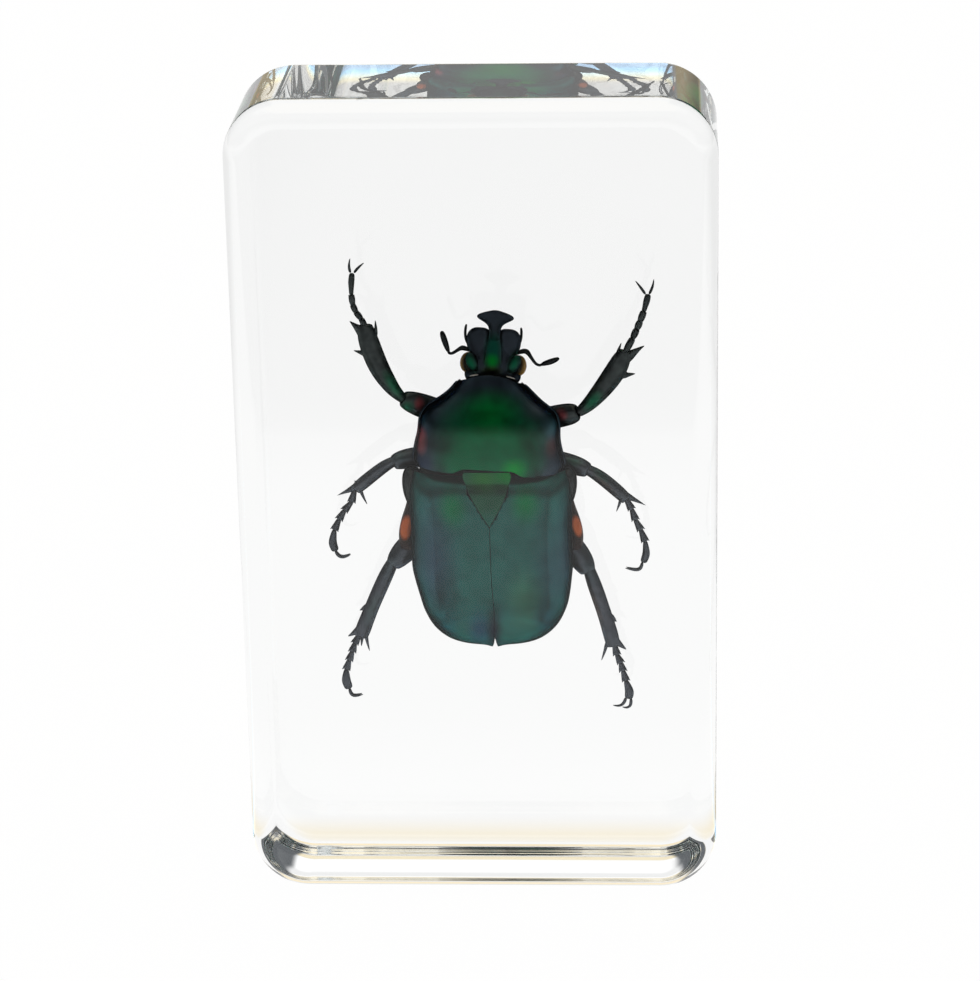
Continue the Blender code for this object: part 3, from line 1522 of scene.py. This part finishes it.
def middle_legs() -> tuple[Leg, Leg]:
    """Return the middle legs in the pose that the resin holds them in."""
    left = Leg(
        name="middle_leg_left",
        thigh=rings(
            (-2.0, 3.4, 41.1, 1.6, 1.8), (-4.5, 2.7, 41.55, 2.05, 1.9), (-6.4, 2.1, 41.45, 2.1, 1.8),
            (-7.4, 1.7, 41.3, 1.82, 1.5), (-8.0, 1.5, 41.1, 1.35, 1.2),
        ),
        shin=rings(
            (-7.6, 1.6, 41.4, 0.9, 0.9), (-8.65, 1.5, 40.88, 1.2, 1.05), (-9.8, 1.4, 39.98, 1.25, 1.05),
            (-11.0, 1.3, 39.0, 1.3, 1.0), (-11.55, 1.25, 38.5, 1.0, 0.8),
        ),
        teeth=(
            level(1.3, (-11.1, 39.05, 1.0, 0.8), (-11.9, 38.55, 0.65, 0.5), (-12.6, 38.25, 0.28, 0.25),
                  (-13.35, 37.9, 0.04, 0.05)),
            level(1.3, (-11.0, 39.1, 0.5, 0.4), (-11.7, 39.45, 0.05, 0.1)),
        ),
        spurs=(level(1.3, (-11.1, 38.8, 0.46, 0.4), (-10.95, 38.1, 0.34, 0.3), (-10.43, 37.0, 0.08, 0.08)),),
        foot=Foot(
            joints=(
                (-11.58, 38.5), (-11.92, 37.31), (-12.62, 36.46), (-13.13, 35.6), (-13.6, 34.55),
                (-13.55, 32.4),
            ),
            belly=(-13.85, 33.3),
            claws=(
                ((-13.61, 32.5), (-13.27, 31.86), (-12.72, 31.81), (-12.09, 32.15)),
                ((-13.61, 32.5), (-13.27, 31.9), (-12.74, 31.87), (-12.15, 32.17)),
            ),
            depth=1.25, claw_gap=0.3,
        ),
    )
    right = Leg(
        name="middle_leg_right",
        thigh=rings(
            (4.0, 3.4, 40.8, 1.6, 1.8), (6.3, 2.7, 41.24, 2.05, 1.9), (8.4, 2.1, 40.89, 2.05, 1.8),
            (9.6, 1.7, 40.55, 1.8, 1.5), (10.2, 1.5, 40.3, 1.35, 1.2),
        ),
        shin=rings(
            (9.9, 1.6, 40.5, 1.0, 0.9), (10.98, 1.5, 39.92, 1.28, 1.05), (12.08, 1.4, 39.03, 1.32, 1.05),
            (13.1, 1.3, 38.1, 1.3, 1.0), (13.7, 1.25, 37.5, 1.1, 0.8),
        ),
        teeth=(
            level(1.3, (13.3, 38.1, 1.0, 0.8), (14.1, 37.65, 0.6, 0.5), (14.8, 37.3, 0.28, 0.25),
                  (15.52, 36.9, 0.04, 0.05)),
        ),
        spurs=(level(1.3, (13.2, 38.0, 0.46, 0.4), (13.1, 37.35, 0.34, 0.3), (12.68, 36.25, 0.08, 0.08)),),
        foot=Foot(
            joints=(
                (13.58, 37.7), (14.13, 36.57), (14.48, 35.52), (14.97, 34.53), (15.37, 33.39),
                (15.18, 31.24),
            ),
            belly=(15.5, 32.2),
            claws=(
                ((15.12, 31.35), (14.97, 30.6), (14.42, 30.5), (13.42, 30.78)),
                ((15.12, 31.35), (14.97, 30.64), (14.45, 30.56), (13.52, 30.82)),
            ),
            depth=1.25, swell=0.78, claw_gap=0.3,
        ),
    )
    return left, right


def hind_legs() -> tuple[Leg, Leg]:
    """Return the hind legs in the pose that the resin holds them in."""
    left = Leg(
        name="hind_leg_left",
        thigh=rings(
            (-3.6, 3.3, 34.4, 2.2, 2.2), (-5.6, 2.8, 33.5, 2.55, 2.4), (-7.05, 2.3, 32.35, 2.5, 2.1),
            (-7.86, 2.0, 31.42, 2.05, 1.7), (-8.35, 1.9, 30.8, 1.3, 1.2),
        ),
        shin=rings(
            (-8.2, 1.9, 31.3, 1.1, 1.0), (-8.78, 1.85, 30.2, 1.4, 1.15), (-9.6, 1.8, 28.4, 1.43, 1.15),
            (-10.55, 1.75, 26.2, 1.36, 1.1), (-11.22, 1.7, 24.5, 1.56, 1.05), (-11.5, 1.7, 23.6, 1.3, 0.85),
        ),
        teeth=(
            level(1.7, (-11.1, 24.9, 1.3, 0.8), (-11.9, 24.15, 0.7, 0.5), (-12.8, 23.65, 0.05, 0.1)),
            level(1.75, (-10.68, 26.85, 0.8, 0.6), (-11.22, 26.5, 0.35, 0.3), (-11.56, 26.3, 0.05, 0.1)),
        ),
        spurs=(
            level(1.7, (-11.0, 24.0, 0.5, 0.4), (-10.95, 23.4, 0.36, 0.3), (-10.68, 22.15, 0.08, 0.08)),
            level(1.95, (-11.35, 23.9, 0.46, 0.4), (-11.4, 23.3, 0.32, 0.3), (-11.48, 22.6, 0.08, 0.08)),
        ),
        foot=Foot(
            joints=(
                (-11.6, 23.9), (-12.08, 22.98), (-12.34, 22.15), (-12.66, 21.26), (-12.96, 20.32),
                (-12.74, 18.3),
            ),
            belly=(-13.04, 19.2),
            claws=(
                ((-12.75, 18.4), (-12.59, 17.69), (-12.15, 17.56), (-11.38, 17.8)),
                ((-12.75, 18.4), (-12.59, 17.73), (-12.18, 17.62), (-11.5, 17.84)),
            ),
            depth=1.75, swell=0.94, claw_gap=0.3,
        ),
    )
    right = Leg(
        name="hind_leg_right",
        thigh=rings(
            (5.9, 3.3, 34.4, 2.2, 2.2), (7.68, 2.8, 33.35, 2.55, 2.4), (8.96, 2.3, 32.05, 2.5, 2.1),
            (9.73, 2.0, 30.85, 2.1, 1.7), (10.06, 1.9, 30.1, 1.4, 1.3),
        ),
        shin=rings(
            (10.03, 1.9, 30.7, 1.1, 1.0), (10.45, 1.85, 29.4, 1.35, 1.15), (10.88, 1.8, 28.1, 1.42, 1.15),
            (11.57, 1.75, 25.9, 1.36, 1.1), (12.12, 1.7, 23.9, 1.5, 1.05), (12.37, 1.7, 22.7, 1.34, 0.85),
        ),
        teeth=(
            level(1.7, (12.2, 23.6, 1.3, 0.8), (12.95, 22.9, 0.6, 0.5), (13.65, 22.32, 0.05, 0.1)),
            level(1.75, (12.0, 25.9, 0.8, 0.6), (12.4, 25.5, 0.4, 0.3), (12.72, 25.15, 0.05, 0.1)),
        ),
        spurs=(level(1.7, (11.75, 23.2, 0.46, 0.4), (11.6, 22.4, 0.34, 0.3), (11.18, 21.2, 0.08, 0.08)),),
        foot=Foot(
            joints=(
                (12.44, 22.9), (12.68, 21.85), (13.03, 21.04), (13.24, 20.2), (13.51, 19.2), (13.75, 17.32),
            ),
            belly=(13.86, 18.1),
            claws=(
                ((13.52, 17.5), (13.31, 16.86), (12.89, 16.56), (12.22, 16.68)),
                ((13.97, 17.45), (14.0, 16.7), (13.64, 16.37), (13.11, 16.51)),
            ),
            depth=1.75, swell=0.92,
        ),
    )
    return left, right


# ---------------------------------------------------------- the beetle's skins


class Skins:
    """The finishes of the beetle's pieces, with their colours where they lie."""

    @staticmethod
    def wing_cases() -> ShellFinish:
        """Return the elytra's teal skin: greener at the shoulders, blue at the sides."""
        return ShellFinish(
            name="teal_wing_case",
            colour=(0.02, 0.104, 0.09),
            patches=spots(
                -3.5, 6.0,
                ((0.035, 0.07, 0.1), -4.2, 32.5, 3.2, 9.5),
                ((0.028, 0.085, 0.1), 6.8, 31.5, 2.6, 8.5),
                ((0.002, 0.145, 0.055), -2.3, 38.0, 1.9, 2.8),
                ((0.001, 0.15, 0.05), 4.4, 38.4, 2.0, 2.8),
                ((0.033, 0.123, 0.08), 4.1, 28.8, 2.4, 4.4),
                ((0.012, 0.085, 0.095), -3.2, 26.0, 2.0, 3.2),
                ((0.017, 0.052, 0.1), 0.0, 25.4, 1.8, 3.0),
                ((0.019, 0.089, 0.11), 6.3, 26.6, 1.6, 2.8),
                ((0.09, 0.08, 0.1), -6.5, 33.0, 1.5, 11.0),
                ((0.04, 0.045, 0.08), 8.7, 33.0, 2.0, 11.0),
                # The near-black spot along the rear of the suture is painted shade in the hollow there.
                ((0.012, 0.008, 0.02), 1.3, 25.0, 1.1, 5.2),
                ((0.02, 0.022, 0.04), 1.3, 22.7, 8.0, 1.7),
            ),
        )

    @staticmethod
    def scutellum() -> ShellFinish:
        """Return the scutellum's olive skin, green along its front."""
        return ShellFinish(
            name="olive_scutellum",
            colour=(0.02, 0.088, 0.05),
            patches=spots(
                -4.0, 4.0,
                ((0.019, 0.14, 0.027), 0.6, 40.7, 2.4, 1.9),
                ((0.003, 0.18, 0.027), 2.7, 41.0, 1.7, 1.6),
                ((0.017, 0.1, 0.075), 1.1, 36.4, 1.6, 2.0),
            ),
        )

    @staticmethod
    def shield() -> ShellFinish:
        """Return the pronotum's green skin, dark in front and coppery at one side, with painted highlights
        at its side margins.
        """
        return ShellFinish(
            name="green_shell",
            colour=(0.03, 0.044, 0.06),
            patches=spots(
                -3.0, 7.0,
                ((0.002, 0.15, 0.055), 1.3, 44.2, 6.3, 5.6, 1.0, 3.0, 0.35),
                ((0.0, 0.22, 0.04), 1.3, 46.9, 3.5, 2.8),
                ((0.002, 0.115, 0.045), 1.1, 42.0, 6.0, 2.7, 1.0, 0.0, 0.4),
                ((0.0, 0.24, 0.035), 3.4, 41.6, 1.6, 1.5),
                ((0.44, 0.13, 0.14), -5.3, 44.1, 1.0, 1.9, 0.9),
                ((0.06, 0.07, 0.09), 5.6, 47.3, 1.8, 1.6, 0.8),
                ((0.1, 0.05, 0.05), 6.9, 43.4, 1.0, 1.5, 0.8),
                ((0.02, 0.03, 0.06), -4.9, 42.0, 1.3, 1.0, 0.8),
                # The two pale blue-grey spots at the side margins are painted highlights along the rim.
                ((0.08, 0.12, 0.14), -5.1, 45.9, 1.2, 1.3, 0.8),
                ((0.07, 0.15, 0.17), 7.0, 45.5, 1.3, 1.8, 0.8),
            ),
            roughness=0.32,
        )

    @staticmethod
    def head() -> ShellFinish:
        """Return the head's skin: navy lobes and a green strip down the middle."""
        return ShellFinish(
            name="navy_head",
            colour=(0.022, 0.028, 0.036),
            patches=spots(
                -2.0, 6.0,
                ((0.003, 0.042, 0.028), 1.6, 52.6, 1.1, 2.4, 1.0, 4.0, 0.3),
                ((0.0, 0.13, 0.012), 1.5, 51.6, 1.0, 1.1),
                ((0.02, 0.036, 0.004), 1.4, 50.6, 1.4, 0.8),
                ((0.004, 0.004, 0.003), 1.5, 50.5, 0.5, 0.5),
                ((0.003, 0.09, 0.04), -0.45, 51.4, 0.75, 1.6, 1.0, -20.0),
                ((0.003, 0.085, 0.04), 3.5, 51.4, 0.75, 1.6, 1.0, 20.0),
            ),
            roughness=0.32,
        )

    @staticmethod
    def underside() -> ShellFinish:
        """Return the body's dark skin, with a faint sheen of green and copper."""
        return ShellFinish(
            name="dark_underside",
            colour=(0.03, 0.034, 0.033),
            patches=(
                Patch((0.045, 0.034, 0.028), (1.1, 4.0, 38.5), (3.2, 4.0, 3.6), 0.8),
                Patch((0.028, 0.042, 0.036), (1.1, 4.0, 29.5), (5.0, 4.0, 4.6), 0.8),
                Patch((0.042, 0.034, 0.028), (1.1, 3.0, 45.5), (4.6, 4.0, 3.0), 0.8),
            ),
            roughness=0.36,
        )

    @staticmethod
    def limbs(name: str, colour: Colour, patches: tuple[Patch, ...] = ()) -> ShellFinish:
        """Return a near-black skin with a sheen of its own.

        Args:
            name: The material's name.
            colour: Its own colour.
            patches: Its coloured spots.

        Returns:
            The finish.
        """
        return ShellFinish(
            name=name, colour=colour, patches=patches, roughness=0.33, cloud=0.25, cloud_size=0.9,
            pit_size=0.16, pit_depth=0.004,
        )

    @classmethod
    def feelers(cls) -> ShellFinish:
        """Return the antennae's and palps' near-black skin."""
        return cls.limbs("dark_feeler", (0.02, 0.022, 0.023))

    @staticmethod
    def rust() -> ShellFinish:
        """Return the side plates' dark skin with its rusty front."""
        rusty = (0.72, 0.17, 0.055)
        return ShellFinish(
            name="rust_side_plate",
            colour=(0.03, 0.016, 0.012),
            patches=spots(
                0.3, 1.9,
                (rusty, -6.95, 34.9, 0.95, 1.6, 1.0, 12.0, 0.6),
                (rusty, 9.25, 35.0, 0.75, 1.5, 1.0, -14.0, 0.6),
            ),
            metal=0.2,
            edge=(0.4, 0.2, 0.1),
            roughness=0.45,
        )

    @staticmethod
    def eyes() -> ShellFinish:
        """Return the eyes' skin with fine facets: dark, with an amber outer rim."""
        dark = (0.02, 0.02, 0.016)
        return ShellFinish(
            name="amber_eye",
            colour=(0.36, 0.2, 0.04),
            patches=spots(
                -0.8, 3.0,
                (dark, -0.35, 51.2, 1.2, 1.6, 1.0, 0.0, 0.6),
                (dark, 3.42, 51.2, 1.2, 1.6, 1.0, 0.0, 0.6),
            ),
            metal=0.1,
            edge=(0.3, 0.2, 0.1),
            roughness=0.18,
            pit_size=0.09,
            pit_depth=0.01,
        )

    @staticmethod
    def neck() -> ShellFinish:
        """Return the neck strips' pale finish: a painted highlight for the light glinting between the head
        and the pronotum.
        """
        return ShellFinish(
            name="pale_neck_skin", colour=(0.62, 0.6, 0.56), metal=0.0, edge=(0.8, 0.8, 0.8), roughness=0.5
        )

    @classmethod
    def legs(cls) -> dict[str, ShellFinish]:
        """Return each leg's finish by the leg's name."""
        green, teal = (0.015, 0.14, 0.07), (0.04, 0.1, 0.1)
        red, brown = (0.4, 0.07, 0.08), (0.09, 0.06, 0.05)
        fore, middle, hind = (0.052, 0.06, 0.06), (0.075, 0.084, 0.096), (0.072, 0.08, 0.095)
        depth, reach = 0.5, 3.0
        sheens = {
            "fore_leg_left": (
                fore,
                (green, -7.6, 48.9, 0.9, 2.2, 0.9, -30.0),
                (green, -6.4, 46.7, 0.9, 0.9, 0.8),
                (red, -5.3, 47.0, 0.7, 1.0, 0.9),
            ),
            "fore_leg_right": (
                fore,
                (green, 10.6, 47.3, 0.9, 1.7, 0.9, 40.0),
                (red, 7.7, 45.9, 0.8, 0.9, 0.8),
            ),
            "middle_leg_left": (middle, (teal, -7.2, 41.8, 1.6, 0.8, 0.6)),
            "middle_leg_right": (
                middle,
                (green, 8.6, 41.2, 1.6, 0.8, 0.7),
                (green, 11.3, 40.0, 1.6, 0.7, 0.6, 50.0),
            ),
            "hind_leg_left": (
                hind,
                (teal, -8.6, 31.2, 1.4, 3.4, 0.4, 20.0),
                (green, -10.3, 26.6, 0.9, 3.0, 0.2, 20.0),
            ),
            "hind_leg_right": (hind, (teal, 10.2, 31.0, 1.3, 3.4, 0.4, -15.0)),
        }
        edges = {
            "middle_leg_right": (Patch(brown, (11.6, 1.0, 39.1), (2.0, reach, 0.5), 0.8, 45.0),),
            "hind_leg_right": (Patch(brown, (10.6, 1.2, 27.0), (0.6, reach, 3.4), 0.8, -17.0),),
        }
        return {
            name: cls.limbs(f"{name}_skin", colour, spots(depth, reach, *rows) + edges.get(name, ()))
            for name, (colour, *rows) in sheens.items()
        }


# ------------------------------------------------------- camera, floor, light


@dataclass
class Viewpoint:
    """The photograph's view: where the camera stands and how it is turned."""

    right: float = 17.57
    back: float = -310.69
    up: float = 151.63
    pitch_deg: float = 20.1
    yaw_deg: float = -3.07
    roll_deg: float = -1.108
    focal_px: float = 3550.9
    frame_px: float = 981.0
    sensor_mm: float = 36.0
    nearest: float = 0.01
    farthest: float = 20.0

    def build(self) -> None:
        """Create the camera and make it the scene's own."""
        data = bpy.data.cameras.new("view")
        data.sensor_fit = "AUTO"
        data.sensor_width = self.sensor_mm
        data.lens = self.focal_px / self.frame_px * self.sensor_mm
        data.clip_start = self.nearest
        data.clip_end = self.farthest
        camera = bpy.data.objects.new("view", data)
        turn = Matrix.Rotation(-math.radians(self.yaw_deg), 4, "Z")
        tip = Matrix.Rotation(math.radians(90.0 - self.pitch_deg), 4, "X")
        roll = Matrix.Rotation(math.radians(self.roll_deg), 4, "Z")
        place = Matrix.Translation(Vector((self.right, self.back, self.up)) * MM)
        camera.matrix_world = place @ turn @ tip @ roll
        bpy.context.scene.collection.objects.link(camera)
        bpy.context.scene.camera = camera


@dataclass(frozen=True)
class SkyZone:
    """A part of the studio's surround with a light of its own.

    It is bounded by soft steps, each along one axis of the direction looked in.
    """

    light: Colour
    steps: tuple[tuple[str, float, float], ...]


@dataclass
class Studio:
    """A white table in soft light, with a dark room behind the camera. Its sizes are in metres."""

    floor_size: float = 4.0
    floor_gap: float = 0.0001
    floor_white: float = 0.03
    floor_glow: float = 0.985
    # From here the shades, the warm caustic and the rainbow bands are painted light and shade on the table,
    # seen only by rays that are not the camera's.
    behind: float = 0.00815
    near_end: float = 0.05
    near_shade: float = 1.0
    far_shade: float = 0.986
    side_start: float = 0.03
    side_end: float = 0.11
    side_shade: float = 0.86
    front_start: float = 0.012
    front_end: float = 0.03
    front_shade: float = 0.86
    warm_end: float = 0.016
    painted_warm_caustic: Colour = (0.97, 0.86, 0.62)
    painted_rainbow_bands: tuple[tuple[float, Colour], ...] = (
        (-0.0055, (1.05, 1.02, 1.0)),
        (-0.0008, (1.1, 1.05, 1.0)),
        (0.0006, (1.6, 1.45, 1.05)),
        (0.0022, (1.5, 1.7, 1.6)),
        (0.0038, (0.9, 1.5, 2.0)),
        (0.0055, (0.8, 1.1, 1.5)),
    )
    band_soft: float = 0.001
    soft: float = 0.0005
    # The black card is a painted reflection: a dark sheet that only mirror rays see, with a faint painted
    # glow; card_shade is painted shade on the table towards it.
    card_edge: float = -0.14
    card_size: float = 1.0
    card_lift: float = 0.0005
    card_soft: float = 0.004
    card_glow: float = 0.02
    card_shade: float = 0.5
    card_reach: float = 0.022
    white: Colour = (1.0, 1.0, 1.0)
    light: Colour = (0.9, 0.9, 0.9)
    zones: tuple[SkyZone, ...] = (
        SkyZone((0.03, 0.03, 0.035), (("Z", 0.15, 0.5), ("Z", 0.95, 0.85), ("Y", 0.2, -0.4))),
        SkyZone((0.12, 0.12, 0.13), (("X", 0.55, 0.75), ("Z", 0.0, 0.1))),
        SkyZone((0.12, 0.12, 0.13), (("X", -0.55, -0.75), ("Z", 0.0, 0.1))),
        SkyZone((1.15, 1.02, 0.78), (("Z", 0.85, 0.95),)),
        SkyZone((0.6, 0.6, 0.6), (("Z", 0.195, 0.215), ("Z", 0.275, 0.25), ("Y", 0.1, 0.4))),
        SkyZone((1.1, 1.1, 1.1), (("Z", 0.36, 0.42), ("Z", 0.52, 0.46), ("Y", 0.1, 0.4))),
        SkyZone((0.95, 0.84, 0.6), (("Z", 0.46, 0.52), ("Z", 0.75, 0.65), ("Y", 0.1, 0.4))),
        SkyZone((1.0, 0.86, 0.6), (("Z", -0.02, 0.0), ("Z", 0.2, 0.18), ("Y", 0.1, 0.4))),
        SkyZone((0.1, 0.11, 0.12), (("X", 0.17, 0.28), ("Z", -0.02, 0.02), ("Y", 0.1, 0.4))),
        SkyZone((0.1, 0.11, 0.12), (("X", -0.22, -0.33), ("Z", -0.02, 0.02), ("Y", 0.1, 0.4))),
    )
    max_bounces: int = 24
    resin_bounces: int = 20
    diffuse_bounces: int = 4

    def build(self) -> None:
        """Lay the floor, hang the lights and set how the picture is taken."""
        self._floor()
        self._card()
        self._surround()
        scene = bpy.context.scene
        scene.view_settings.view_transform = "Standard"
        scene.view_settings.look = "None"
        scene.cycles.max_bounces = self.max_bounces
        scene.cycles.glossy_bounces = self.resin_bounces
        scene.cycles.transmission_bounces = self.resin_bounces
        scene.cycles.diffuse_bounces = self.diffuse_bounces

    @staticmethod
    def _sheet(name: str, size: float, place: Point) -> Piece:
        """Return a flat square.

        Args:
            name: Its name.
            size: How long its sides are.
            place: Its middle.

        Returns:
            The square.
        """
        deselect_all()
        bpy.ops.mesh.primitive_plane_add(size=size, location=place)
        sheet = bpy.context.object
        sheet.name = name
        return sheet

    def _floor(self) -> None:
        """Lay the white table top: white to the camera, with painted caustics and painted shade for all
        other rays.
        """
        floor = self._sheet("table_top", self.floor_size, (0.0, 0.0, -self.floor_gap))
        recipe = Recipe("white_table")
        shade = (self.floor_white, self.floor_white, self.floor_white, 1.0)
        recipe.set(Base_Color=shade, Roughness=0.9, Specular_IOR_Level=0.0)
        # The camera sees the table evenly white; other rays see its painted caustics and painted shade.
        direct = recipe.node("LightPath").outputs["Is Camera Ray"]
        glow = recipe.mix(direct, self._gathered(recipe), self.white)
        recipe.set(Emission_Color=glow, Emission_Strength=self.floor_glow)
        floor.data.materials.append(recipe.material)

    def _gathered(self, recipe: Recipe) -> Socket:
        """Return the table's painted light and shade, standing in for the light the resin bends together.

        The painted shade falls off to the sides, in front and far behind; a painted warm caustic lies close
        behind the block and a painted rainbow under it.

        Args:
            recipe: The table's material.

        Returns:
            The colour's socket.
        """
        place = recipe.node("SeparateXYZ", Vector=recipe.place()).outputs
        along, out = place["Y"], recipe.reckon("ABSOLUTE", place["X"])
        glow: object = (self.near_shade,) * 3
        # Painted shade: darker far behind, to the sides, in front and towards the card.
        for value, start, full, shade in (
            (along, self.warm_end, self.near_end, self.far_shade),
            (out, self.side_start, self.side_end, self.side_shade),
            (along, -self.front_start, -self.front_end, self.front_shade),
            (along, self.card_edge + self.card_reach, self.card_edge, self.card_shade),
        ):
            glow = recipe.mix(recipe.fade(value, start, full), glow, (shade,) * 3)
        # Painted warm caustic close behind the block.
        begun = recipe.fade(along, self.behind - self.soft, self.behind)
        ended = recipe.fade(along, self.warm_end, self.behind)
        glow = recipe.mix(recipe.reckon("MULTIPLY", begun, ended), glow, self.painted_warm_caustic)
        # Painted rainbow under the block, standing in for the colours the resin splits the light into.
        foot: object = ORIGIN
        for start, tint in self.painted_rainbow_bands:
            foot = recipe.mix(recipe.fade(along, start - self.band_soft, start + self.band_soft), foot, tint)
        front = self.painted_rainbow_bands[0][0]
        begun = recipe.fade(along, front - self.soft, front + self.soft)
        ended = recipe.fade(along, self.behind, self.behind - self.soft)
        return recipe.mix(recipe.reckon("MULTIPLY", begun, ended), glow, foot)

    def _card(self) -> None:
        """Lay a soft-edged black card in front, which only the front face mirrors: a painted reflection of a
        dark room, with a faint painted glow.
        """
        half = self.card_size / 2.0
        place = (0.0, self.card_edge + self.card_soft - half, self.card_lift)
        card = self._sheet("black_card", self.card_size, place)
        recipe = Recipe("black_card")
        along = recipe.node("SeparateXYZ", Vector=recipe.place()).outputs["Y"]
        solid = recipe.fade(along, half, half - 2.0 * self.card_soft)
        recipe.set(Base_Color=(0.0, 0.0, 0.0, 1.0), Roughness=1.0, Specular_IOR_Level=0.0, Alpha=solid)
        recipe.set(Emission_Color=(*self.white, 1.0), Emission_Strength=self.card_glow)
        card.data.materials.append(recipe.material)
        card.visible_camera = False
        card.visible_transmission = False
        card.visible_diffuse = False
        card.visible_shadow = False

    def _surround(self) -> None:
        """Surround the table with white, broken by the zones."""
        world = bpy.data.worlds.new("studio")
        world.use_nodes = True
        bpy.context.scene.world = world
        sheet = NodeSheet(world.node_tree)
        way = sheet.node("SeparateXYZ", Vector=sheet.node("TexCoord").outputs["Generated"]).outputs
        light: object = self.light
        for zone in self.zones:
            inside, *steps = (sheet.fade(way[axis], start, full) for axis, start, full in zone.steps)
            for step in steps:
                inside = sheet.reckon("MULTIPLY", inside, step)
            light = sheet.mix(inside, light, zone.light)
        direct = sheet.node("LightPath").outputs["Is Camera Ray"]
        seen = sheet.mix(direct, light, self.white)
        sheet.feed(sheet.tree.nodes["Background"].inputs["Color"], seen)


def main() -> None:
    """Load the block, model what it holds and light it."""
    logging.basicConfig(level=logging.INFO, format="%(message)s")
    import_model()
    low, high = (Vector(corner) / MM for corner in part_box(BLOCK_NODE))
    Viewpoint().build()
    Studio().build()
    feeler = Skins.feelers().material()
    WingCases().build(Skins.wing_cases().material(), Skins.scutellum().material())
    Pronotum().build(Skins.shield().material())
    Head().build(Skins.head().material(), feeler, Skins.eyes().material(), Skins.neck().material())
    Underside().build(Skins.underside().material(), Skins.rust().material())
    skins = Skins.legs()
    for leg in (*fore_legs(), *middle_legs(), *hind_legs()):
        leg.build(skins[leg.name].material())
    ResinBlock(*(high - low)).build(ResinFinish())


if __name__ == "__main__":
    main()
